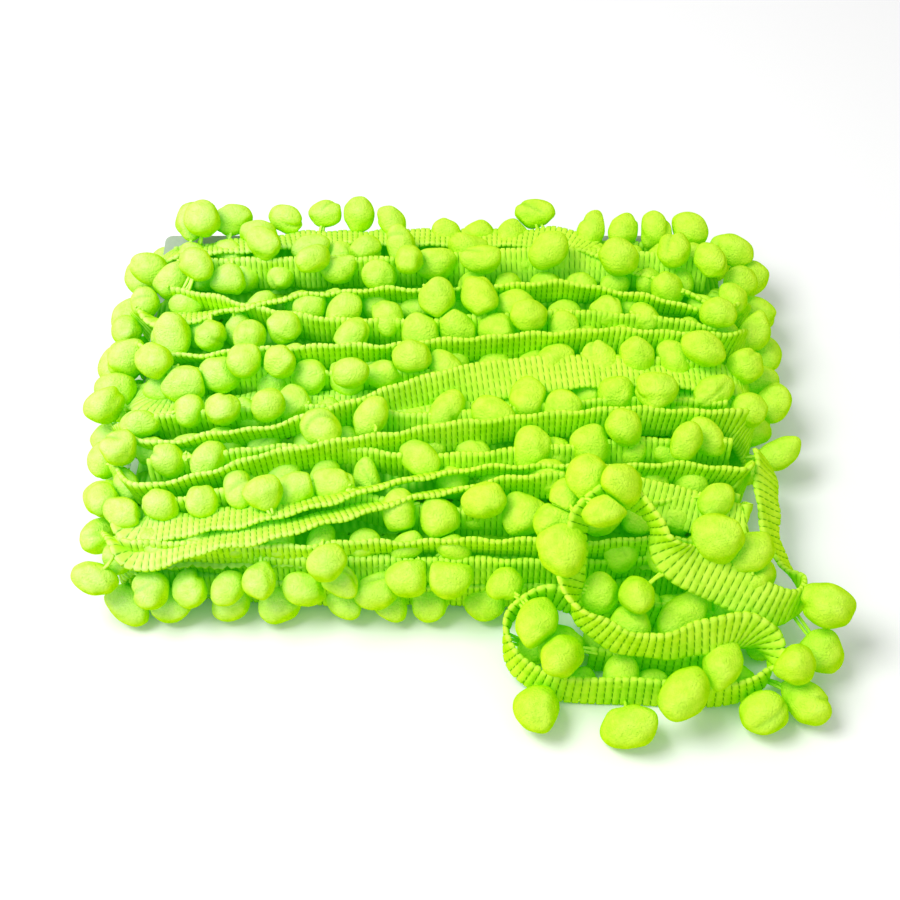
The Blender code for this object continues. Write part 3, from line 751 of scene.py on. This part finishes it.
def braid(stops, closed, seed, columns, rib_pitch=RIB_PITCH, places=RIB_PLACES, heights=RIB_RELIEF,
          loose=False):
    """Points, faces, relief and painted shade, edges and length of one run of ribbed braid.

    Each stop is a middle point, a tilt in degrees and the way out of what carries the braid.
    A loose run works the way out from its own direction.
    """
    dice = random.Random(seed)
    rows = smooth_line(stops, BRAID_STEPS, closed)
    if closed:
        rows = np.vstack([rows, rows[0]])
    steps = np.linalg.norm(np.diff(rows[:, :3], axis=0), axis=1)
    travelled = np.concatenate([[0.0], np.cumsum(steps)])
    ribs = int(round(travelled[-1] / rib_pitch))
    pitch = travelled[-1] / ribs
    shifts = np.array([dice.uniform(-RIB_SHIFT, RIB_SHIFT) for rib in range(ribs)])
    swells = np.array([dice.uniform(*RIB_SWELL) for rib in range(ribs)])
    if closed:
        shifts[0] = 0.0
    rib = np.repeat(np.arange(ribs), len(places))
    place = np.tile(np.array(places), ribs)
    relief_and_shade = np.tile(np.array(heights), ribs)
    at = (rib + place + shifts[rib] * (place > 0)) * pitch
    ring = np.stack([np.interp(at, travelled, column) for column in rows.T], axis=1)
    middle = ring[:, :3]
    ahead = np.roll(middle, -len(places), axis=0)
    behind = np.roll(middle, len(places), axis=0)
    if not closed:
        ahead[-len(places):] = middle[-1]
        behind[:len(places)] = middle[0]
    along = ahead - behind
    along /= np.linalg.norm(along, axis=1, keepdims=True)
    lengths = np.array(LILT_LENGTHS)
    waves = 2 * math.pi * at[:, None] / lengths
    starts = np.array([dice.uniform(0.0, FULL_TURN) for length in lengths])
    if closed:
        waves = 2 * math.pi * np.round(travelled[-1] / lengths) * at[:, None] / travelled[-1]
    lilt = np.sin(waves + starts)
    sway = np.clip(middle[:, 2] / LILT_HEIGHT - LILT_LOST, 0.0, 1.0)
    tilt = np.radians(ring[:, 3] + (LILT_TILTS[0] * lilt[:, 0] + LILT_TILTS[1] * lilt[:, 1]) * sway)
    if loose:
        up = np.array([0.0, 0.0, 1.0])
        across = np.cross(along, up)
        across /= np.linalg.norm(across, axis=1, keepdims=True)
        rise = np.cross(across, along)
    else:
        across = np.tile(np.array([0.0, 1.0, 0.0]), (len(at), 1))
        rise = ring[:, 4:7] / np.linalg.norm(ring[:, 4:7], axis=1, keepdims=True)
    half = across * np.cos(tilt)[:, None] + rise * np.sin(tilt)[:, None]
    half -= along * np.sum(half * along, axis=1, keepdims=True)
    half /= np.linalg.norm(half, axis=1, keepdims=True)
    face = np.cross(half, along)
    spread = np.linspace(-1.0, 1.0, columns)
    bridge = np.where(np.arange(columns) % BRIDGE_EVERY == 0, STITCH_BRIDGE, 0.0)
    dip = np.where(np.arange(columns) % BRIDGE_EVERY == 0, STITCH_DIP, 1.0)
    raised = np.maximum(relief_and_shade[:, None] * dip[None, :], bridge[None, :])
    thick = BRAID_CORE + RIB_RISE * raised * swells[rib][:, None]
    thick = thick * (1.0 - EDGE_THINNING * spread[None, :] ** EDGE_POWER)
    notch = np.where(rib % 2 == 0, SCALLOP, SCALLOP_BETWEEN)
    reach = BRAID_WIDTH / 2 - notch * (1.0 - relief_and_shade) + SWELL_REACH * (swells[rib] - 1.0)
    side = middle[:, None, :] + half[:, None, :] * (spread[None, :, None] * reach[:, None, None])
    curl = (LILT_CURL * lilt[:, 2] * sway)[:, None, None]
    side = side + face[:, None, :] * curl * spread[None, :, None] ** 2
    upper = side + face[:, None, :] * thick[:, :, None]
    lower = side - face[:, None, :] * thick[:, :, None]
    points = np.concatenate([upper, lower[:, ::-1]], axis=1)
    points[:, :, 2] = np.maximum(points[:, :, 2], BRAID_FLOOR)
    # Painted shade from the relief: the slots between ribs are darkest, the ribs and stitches lighter
    shade = np.concatenate([raised, raised[:, ::-1]], axis=1)
    size = 2 * columns
    count = len(at)
    i = np.arange(count if closed else count - 1)[:, None]
    j = np.arange(size)[None, :]
    following = (i + 1) % count
    beside = (j + 1) % size
    corners = [i * size + j, i * size + beside, following * size + beside, following * size + j]
    faces = np.stack(corners, axis=2).reshape(-1, 4).tolist()
    if not closed:
        faces.append(list(range(size))[::-1])
        faces.append([(count - 1) * size + k for k in range(size)])
    edges = np.concatenate([upper[::len(places), 0], upper[::len(places), -1]])
    return points.reshape(-1, 3), faces, shade.reshape(-1), edges, travelled[-1]


def join_shapes(shapes):
    """One set of points, faces, and relief and painted shade values from several."""
    points = []
    faces = []
    relief_and_shade = []
    start = 0
    for shape in shapes:
        points.append(shape[0])
        faces.extend([[corner + start for corner in face] for face in shape[1]])
        relief_and_shade.append(shape[2])
        start += len(shape[0])
    return np.concatenate(points), faces, np.concatenate(relief_and_shade)


def unit_ball(detail):
    """Points and faces of a round ball of radius 1."""
    shape = bmesh.new()
    bmesh.ops.create_icosphere(shape, subdivisions=detail, radius=1.0)
    points = np.array([vert.co for vert in shape.verts])
    faces = [[vert.index for vert in face.verts] for face in shape.faces]
    shape.free()
    return points, faces


def some_direction(dice, level=1.0):
    """A direction picked from a sphere that is flattened by the level."""
    way = np.array([dice.gauss(0, 1), dice.gauss(0, 1), dice.gauss(0, 1) * level])
    return way / np.linalg.norm(way)


def pompom(ball, centre, radius, root, neighbours, dice):
    """Points, and relief and painted shade, of one soft pompom, tied at its root and pressed by its
    neighbours.
    """
    points, faces = ball
    longer = some_direction(dice, STRETCH_LEVEL)
    stretch = dice.uniform(*STRETCH)
    shape = points + np.outer(points @ longer, longer) * (stretch - 1.0)
    if dice.random() < BEAN_CHANCE:
        bow = np.cross(longer, some_direction(dice))
        shape = shape + np.outer((points @ longer) ** 2 - BEAN_MIDDLE, bow) * BEAN_BEND
    size = np.full(len(points), radius * dice.uniform(*SIZE_RANGE) / stretch ** 0.5)
    for k in range(LUMP_COUNT):
        way = some_direction(dice)
        wave = points @ way * dice.uniform(*LUMP_WAVES) + dice.uniform(0.0, FULL_TURN)
        size *= 1.0 + LUMP_SIZE * np.sin(wave) / (1 + LUMP_FADE * k)
    for k in range(FINE_COUNT):
        way = some_direction(dice)
        wave = points @ way * dice.uniform(*FINE_WAVES) + dice.uniform(0.0, FULL_TURN)
        size *= 1.0 + FINE_SIZE * np.sin(wave)
    # Relief and painted shade: creases and pressed parts are painted darker below
    relief_and_shade = np.ones(len(points))
    toward = points @ root
    size *= 1.0 - ROOT_TAPER * toward
    if dice.random() < NECK_CHANCE:
        size *= 1.0 + NECK_LENGTH * np.clip((toward - NECK_START) / NECK_SPAN, 0.0, 1.0) ** 2
    if dice.random() < CREASE_CHANCE:
        across = some_direction(dice)
        off = points @ across - dice.uniform(-CREASE_OFF, CREASE_OFF)
        middle = some_direction(dice, CREASE_LEVEL)
        strong = np.clip(points @ middle * CREASE_SHARP, 0.0, 1.0)
        groove = np.exp(-(off / CREASE_WIDTH) ** 2) * strong
        size *= 1.0 - CREASE_DEPTH * groove
        relief_and_shade -= CREASE_SHADE * groove
    shape = shape * size[:, None] + centre
    for other, other_radius in neighbours:
        way = other - centre
        gap = np.linalg.norm(way)
        way = way / gap
        limit = gap * radius / (radius + other_radius) - PRESS_GAP
        over = (shape - centre) @ way - limit
        pressed = np.where(over > -PRESS_SOFT, np.minimum(over + PRESS_SOFT, PRESS_MOST), 0.0)
        moved = pressed - PRESS_SOFT * (1.0 - np.exp(-pressed / PRESS_SOFT))
        shape = shape - np.outer(moved, way)
        relief_and_shade -= PRESS_SHADE * np.clip(pressed / PRESS_SHADE_DEPTH, 0.0, 1.0)
    shape[:, 2] = np.maximum(shape[:, 2], POMPOM_FLOOR)
    return shape, faces, np.clip(relief_and_shade, 0.0, 1.0)


def strands(start, end, dice):
    """Two or three yarn strands side by side from a braid's edge into a pompom."""
    shapes = []
    way = end - start
    length = np.linalg.norm(way)
    way = way / length
    across = np.cross(way, some_direction(dice))
    across /= np.linalg.norm(across)
    other = np.cross(way, across)
    count = dice.choice(STRAND_COUNTS)
    for strand in range(count):
        offset = (strand - (count - 1) / 2) * STRAND_SPREAD
        sag = dice.uniform(-STRAND_SAG, STRAND_SAG)
        rings = []
        for k in range(STRAND_STEPS + 1):
            t = k / STRAND_STEPS
            bow = math.sin(math.pi * t)
            aside = across * offset * (1.0 - STRAND_NARROWS * t)
            middle = start + way * length * t + aside + other * sag * bow
            for turn in range(STRAND_SIDES):
                angle = 2 * math.pi * turn / STRAND_SIDES
                ring = across * math.cos(angle) + other * math.sin(angle)
                rings.append(middle + ring * STRAND_RADIUS)
        faces = []
        for k in range(STRAND_STEPS):
            for turn in range(STRAND_SIDES):
                beside = (turn + 1) % STRAND_SIDES
                low = k * STRAND_SIDES
                high = low + STRAND_SIDES
                faces.append([low + turn, low + beside, high + beside, high + turn])
        faces.append(list(range(STRAND_SIDES))[::-1])
        faces.append([STRAND_STEPS * STRAND_SIDES + turn for turn in range(STRAND_SIDES)])
        points = np.array(rings)
        points[:, 2] = np.maximum(points[:, 2], STRAND_FLOOR)
        shapes.append((points, faces, np.full(len(points), STRAND_SHADE_VALUE)))
    return shapes


def shader_of(material):
    material.use_nodes = True
    return material.node_tree.nodes["Principled BSDF"]


def add_node(tree, kind, **values):
    """A shader node with its settings, and with its sockets set by name."""
    node = tree.nodes.new(kind)
    for key, value in values.items():
        if hasattr(node, key):
            setattr(node, key, value)
        else:
            node.inputs[key.replace("_", " ")].default_value = value
    return node


def mixed(tree, factor, first, second):
    """A colour between two, by a factor that is a socket."""
    mix = tree.nodes.new("ShaderNodeMix")
    mix.data_type = "RGBA"
    tree.links.new(factor, mix.inputs["Factor"])
    for socket, value in ((mix.inputs["A"], first), (mix.inputs["B"], second)):
        if isinstance(value, tuple):
            socket.default_value = (*value, 1.0)
        else:
            tree.links.new(value, socket)
    return mix.outputs["Result"]


def ramped(tree, value, low, high, least=0.0, most=1.0):
    """A socket's value stretched from one range to another, and kept inside it."""
    ramp = tree.nodes.new("ShaderNodeMapRange")
    for name, number in (("From Min", low), ("From Max", high), ("To Min", least), ("To Max", most)):
        ramp.inputs[name].default_value = number
    tree.links.new(value, ramp.inputs["Value"])
    return ramp.outputs["Result"]


def maths(tree, operation, first, second):
    node = tree.nodes.new("ShaderNodeMath")
    node.operation = operation
    tree.links.new(first, node.inputs[0])
    tree.links.new(second, node.inputs[1])
    return node.outputs["Value"]


def noise(tree, place, scale, detail):
    node = add_node(tree, "ShaderNodeTexNoise", Scale=scale, Detail=detail, Roughness=0.62)
    tree.links.new(place, node.inputs["Vector"])
    return node.outputs["Fac"]


def yarn_material(name, tones, fibre_scale, fibre_depth, mottle_scale):
    """Soft neon yarn with painted light: a painted highlight and lit and shaded tones by the way each face
    turns, painted deep green shade in its slots, creases and deep in the forms, and a faint painted green
    glow.
    """
    highlight_tone, lit_tone, shade_tone = tones
    material = bpy.data.materials.new(name)
    shader = shader_of(material)
    tree = material.node_tree
    place = tree.nodes.new("ShaderNodeTexCoord").outputs["Object"]
    relief_and_shade = tree.nodes.new("ShaderNodeAttribute")
    relief_and_shade.attribute_name = "relief_and_shade"
    facing = tree.nodes.new("ShaderNodeVectorMath")
    facing.operation = "DOT_PRODUCT"
    tree.links.new(tree.nodes.new("ShaderNodeNewGeometry").outputs["Normal"], facing.inputs[0])
    facing.inputs[1].default_value = HIGHLIGHT_WAY
    mottle = noise(tree, place, mottle_scale, 5.0)
    fibre = noise(tree, place, fibre_scale, 3.0)
    apart = tree.nodes.new("ShaderNodeSeparateXYZ")
    tree.links.new(place, apart.inputs[0])
    # The painted highlight is full to the left and fades to a share of it towards the right
    highlight_across = ramped(tree, apart.outputs["X"], HIGHLIGHT_FULL_X * MM, HIGHLIGHT_FADED_X * MM, 1.0, HIGHLIGHT_FADED_SHARE)
    # Painted highlight where a face turns toward the light, broken up by the mottle
    toward_light = ramped(tree, facing.outputs["Value"], *HIGHLIGHT_FACING)
    highlight = maths(tree, "MULTIPLY", toward_light, ramped(tree, mottle, *HIGHLIGHT_MOTTLE))
    highlight = maths(tree, "MULTIPLY", highlight, highlight_across)
    clumps = ramped(tree, noise(tree, place, CLUMP_SCALE, 2.0), *LIT_CLUMPS)
    # Painted light and shade: the lit tone where a face turns toward the light, the shaded one where it
    # turns away, with random clumps and mottle of the yarn's own tone
    turned = ramped(tree, facing.outputs["Value"], *LIT_FACING)
    lit = maths(tree, "ADD", turned, clumps)
    lit = maths(tree, "ADD", lit, ramped(tree, mottle, *LIT_MOTTLE))
    colour = mixed(tree, lit, shade_tone, lit_tone)
    colour = mixed(tree, highlight, colour, highlight_tone)
    # Painted shade: deep green where the relief and shade value is low, in slots, creases and deep in the
    # forms
    colour = mixed(tree, ramped(tree, relief_and_shade.outputs["Fac"], *DEEP_SHADE_RANGE), YARN_DEEP_SHADE, colour)
    tree.links.new(colour, shader.inputs["Base Color"])
    bump = add_node(tree, "ShaderNodeBump", Strength=0.9, Distance=fibre_depth)
    tree.links.new(fibre, bump.inputs["Height"])
    tree.links.new(bump.outputs["Normal"], shader.inputs["Normal"])
    shader.inputs["Roughness"].default_value = 0.9
    shader.inputs["Specular IOR Level"].default_value = 0.0
    shader.inputs["Sheen Weight"].default_value = 0.12
    shader.inputs["Sheen Roughness"].default_value = 0.5
    shader.inputs["Sheen Tint"].default_value = (*YARN_SHEEN, 1.0)
    # Painted glow: a faint green emission in the yarn that lifts its shaded parts
    shader.inputs["Emission Color"].default_value = (*YARN_GLOW, 1.0)
    shader.inputs["Emission Strength"].default_value = GLOW_STRENGTH
    return material


def card_material():
    """Grey pulp board with faint flecks."""
    material = bpy.data.materials.new("board")
    shader = shader_of(material)
    tree = material.node_tree
    place = tree.nodes.new("ShaderNodeTexCoord").outputs["Object"]
    fleck = add_node(tree, "ShaderNodeTexNoise", Scale=900.0, Detail=5.0, Roughness=0.65)
    tree.links.new(place, fleck.inputs["Vector"])
    colour = mixed(tree, fleck.outputs["Fac"], CARD_DARK, CARD_LIGHT)
    tree.links.new(colour, shader.inputs["Base Color"])
    bump = add_node(tree, "ShaderNodeBump", Strength=0.3, Distance=0.0001)
    tree.links.new(fleck.outputs["Fac"], bump.inputs["Height"])
    tree.links.new(bump.outputs["Normal"], shader.inputs["Normal"])
    shader.inputs["Roughness"].default_value = 0.9
    return material


def make_camera():
    data = bpy.data.cameras.new("camera")
    data.lens = CAMERA_LENS
    data.sensor_width = CAMERA_SENSOR
    data.clip_start = 0.01
    data.clip_end = 10.0
    camera = bpy.data.objects.new("camera", data)
    bpy.context.scene.collection.objects.link(camera)
    angle = math.radians(CAMERA_ELEVATION)
    back = Vector((0.0, -math.cos(angle), math.sin(angle)))
    camera.location = (Vector(CAMERA_TARGET) + back * CAMERA_DISTANCE) * MM
    camera.rotation_euler = (math.radians(90.0 - CAMERA_ELEVATION), 0.0, 0.0)
    bpy.context.scene.camera = camera


def make_light(name, place, size, power):
    """A soft square light that faces the trim."""
    data = bpy.data.lights.new(name, "AREA")
    data.size = size * MM
    data.energy = power
    light = bpy.data.objects.new(name, data)
    bpy.context.scene.collection.objects.link(light)
    light.location = Vector(place) * MM
    way = Vector(CAMERA_TARGET) - Vector(place)
    light.rotation_euler = way.to_track_quat("-Z", "Y").to_euler()


def make_stage():
    """A plain white floor under soft light from all round, brighter from the upper left."""
    shape = bmesh.new()
    bmesh.ops.create_grid(shape, x_segments=1, y_segments=1, size=3.0)
    mesh = bpy.data.meshes.new("floor")
    shape.to_mesh(mesh)
    shape.free()
    floor = bpy.data.objects.new("floor", mesh)
    bpy.context.scene.collection.objects.link(floor)
    material = bpy.data.materials.new("floor")
    shader = shader_of(material)
    shader.inputs["Base Color"].default_value = (0.93, 0.93, 0.93, 1.0)
    shader.inputs["Roughness"].default_value = 0.95
    mesh.materials.append(material)
    world = bpy.data.worlds.new("world")
    world.use_nodes = True
    world.node_tree.nodes["Background"].inputs["Color"].default_value = (1.0, 1.0, 1.0, 1.0)
    world.node_tree.nodes["Background"].inputs["Strength"].default_value = WORLD_STRENGTH
    bpy.context.scene.world = world
    make_light("key", KEY_PLACE, KEY_SIZE, KEY_POWER)
    bpy.context.scene.view_settings.view_transform = "Standard"


def nearest_edge(centre, radius, edges):
    """Where a pompom is tied: the point of a braid's edge nearest its surface, or one below it."""
    away = np.linalg.norm(edges - centre, axis=1)
    nearest = np.argmin(np.abs(away - radius))
    if away[nearest] < radius + STRAND_REACH:
        return edges[nearest]
    return centre - np.array([0.0, 0.0, radius + ROOT_BELOW])


def tied_pompoms(centres, radii, balls, edges, seed, others):
    """Pompoms pressed against each other, and the strands that tie them to the braid."""
    places = np.array(centres, float)
    sizes = np.array(radii, float)
    crowd = np.concatenate([places, np.array([place for place, size in others]).reshape(-1, 3)])
    crowd_sizes = np.concatenate([sizes, np.array([size for place, size in others])])
    pompoms = []
    ties = []
    for index, (centre, radius) in enumerate(zip(places, sizes)):
        dice = random.Random(seed + index)
        anchor = nearest_edge(centre, radius, edges)
        root = (anchor - centre) / np.linalg.norm(anchor - centre)
        away = np.linalg.norm(crowd - centre, axis=1)
        beside = (away > SAME_PLACE) & (away < radius + crowd_sizes + NEIGHBOUR_REACH)
        near = [(crowd[k], crowd_sizes[k]) for k in np.nonzero(beside)[0]]
        pompoms.append(pompom(balls[index], centre, radius, root, near, dice))
        if np.linalg.norm(anchor - centre) > radius - TIE_LEAST:
            ties.extend(strands(anchor, centre + root * radius * TIE_DEPTH, dice))
    return pompoms, ties


def open_stops(y_row, tilts, first_x, last_x, height_at):
    """Stops of a turn that only shows along one side of the winding."""
    stops = []
    for k in range(PASS_STEPS + 1):
        x = first_x + (last_x - first_x) * k / PASS_STEPS
        y = blend(y_row, x)
        stops.append((x, y, height_at(x, y), blend(tilts, x), 0.0, 0.0, 1.0))
    return stops


def make_winding(braid_yarn, pompom_yarn):
    """The wound trim: outer turns, the turns below them, and all its pompoms."""
    outer = []
    middle_pass = (len(PASSES) - 1) / 2
    for index, (name, y_row, tilts, lift) in enumerate(PASSES):
        stops = wound_stops(y_row, tilts, lift, UNDER_PITCH * (middle_pass - index))
        outer.append(braid(stops, True, TURN_SEED + index, STITCH_COLUMNS))
        settle(make_piece("turn_" + name, outer[-1:], braid_yarn, in_winding), "yarn", "wound_trim")
    below = []
    for index, (name, y_row, tilts, lift) in enumerate(DEEP_PASSES):
        stops = open_stops(y_row, tilts, STATIONS[0], STATIONS[-1], lambda x, y: winding_top(x, y, lift))
        below.append(braid(stops, False, BELOW_SEED + index, BELOW_COLUMNS))
    settle(make_piece("turns_below", below, braid_yarn, in_winding), "yarn", "wound_trim")
    walls = []
    for index, (name, y_row, tilts, z) in enumerate(WALL_PASSES):
        stops = open_stops(y_row, tilts, -WALL_REACH, WALL_REACH, lambda x, y: z)
        walls.append(braid(stops, False, WALL_SEED + index, BELOW_COLUMNS))
    settle(make_piece("turns_at_walls", walls, braid_yarn, in_winding), "yarn", "wound_trim")
    layer = []
    layer_ribs = (LAYER_RIB_PITCH, LAYER_RIB_PLACES, LAYER_RIB_RELIEF)
    for index in range(LAYER_COUNT):
        y = LAYER_PITCH * (index - (LAYER_COUNT - 1) / 2)
        stops = layer_stops(y, LAYER_DEPTH + LAYER_STAGGER * (index % 2))
        layer.append(braid(stops, True, LAYER_SEED + index, LAYER_COLUMNS, *layer_ribs))
    settle(make_piece("turns_inside", layer, braid_yarn, in_winding), "yarn", "wound_trim")
    rims = np.concatenate([shape[3] for shape in outer + below + walls])
    upper = winding_pompoms()
    for centre in upper:
        if centre.y > BACK_ROW_Y and centre.z > LOW_ROW_Z:
            centre.y -= BACK_ROW_TUCK
    lower = deep_pompoms(upper)
    places = [tuple(centre) for centre in upper + lower]
    radii = [SHOWN_RADIUS * (1.0 + RADIUS_VARIES * wobble(k, 5)) for k in range(len(upper))]
    radii += [DEEP_RADIUS] * len(lower)
    others = [((x, y, z), radius) for x, y, z, radius in LOOSE_POMPOMS]
    balls = [unit_ball(POMPOM_DETAIL)] * len(upper) + [unit_ball(DEEP_DETAIL)] * len(lower)
    pompoms, ties = tied_pompoms(places, radii, balls, rims, POMPOM_SEED, others)
    for start in range(0, len(pompoms), POMPOM_GROUP):
        name = f"pompoms_{start // POMPOM_GROUP + 1}"
        group = pompoms[start:start + POMPOM_GROUP]
        settle(make_piece(name, group, pompom_yarn, in_winding), "yarn", "wound_trim")
    settle(make_piece("pompom_ties", ties, braid_yarn, in_winding), "yarn", "wound_trim")
    return list(zip(places, radii))


def make_loose_end(braid_yarn, pompom_yarn, others):
    """The loose end, a strip of braid with its pompoms."""
    shape = braid(LOOSE_ROUTE, False, LOOSE_SEED, STITCH_COLUMNS, LOOSE_PITCH, loose=True)
    strip = make_piece("loose_braid", [shape], braid_yarn, in_heap)
    settle(strip, "yarn", "loose_trim")
    places = [row[:3] for row in LOOSE_POMPOMS + LOW_POMPOMS]
    radii = [row[3] for row in LOOSE_POMPOMS + LOW_POMPOMS]
    balls = [unit_ball(POMPOM_DETAIL)] * len(LOOSE_POMPOMS) + [unit_ball(DEEP_DETAIL)] * len(LOW_POMPOMS)
    pompoms, ties = tied_pompoms(places, radii, balls, shape[3], LOOSE_POMPOM_SEED, others)
    fringe = make_piece("loose_pompoms", pompoms, pompom_yarn, in_heap)
    settle(fringe, "yarn", "loose_trim")
    knots = make_piece("loose_ties", ties, braid_yarn, in_heap)
    settle(knots, "yarn", "loose_trim")


def dress_card():
    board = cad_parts["card"]
    board.data.materials.clear()
    board.data.materials.append(card_material())


def main():
    make_camera()
    make_stage()
    braid_yarn = yarn_material("braid_yarn", (BRAID_HIGHLIGHT, BRAID_LIT, BRAID_SHADE), *BRAID_FIBRE)
    pompom_yarn = yarn_material("pompom_yarn", (POMPOM_HIGHLIGHT, POMPOM_LIT, POMPOM_SHADE), *POMPOM_FIBRE)
    dress_card()
    others = make_winding(braid_yarn, pompom_yarn)
    make_loose_end(braid_yarn, pompom_yarn, others)


main()
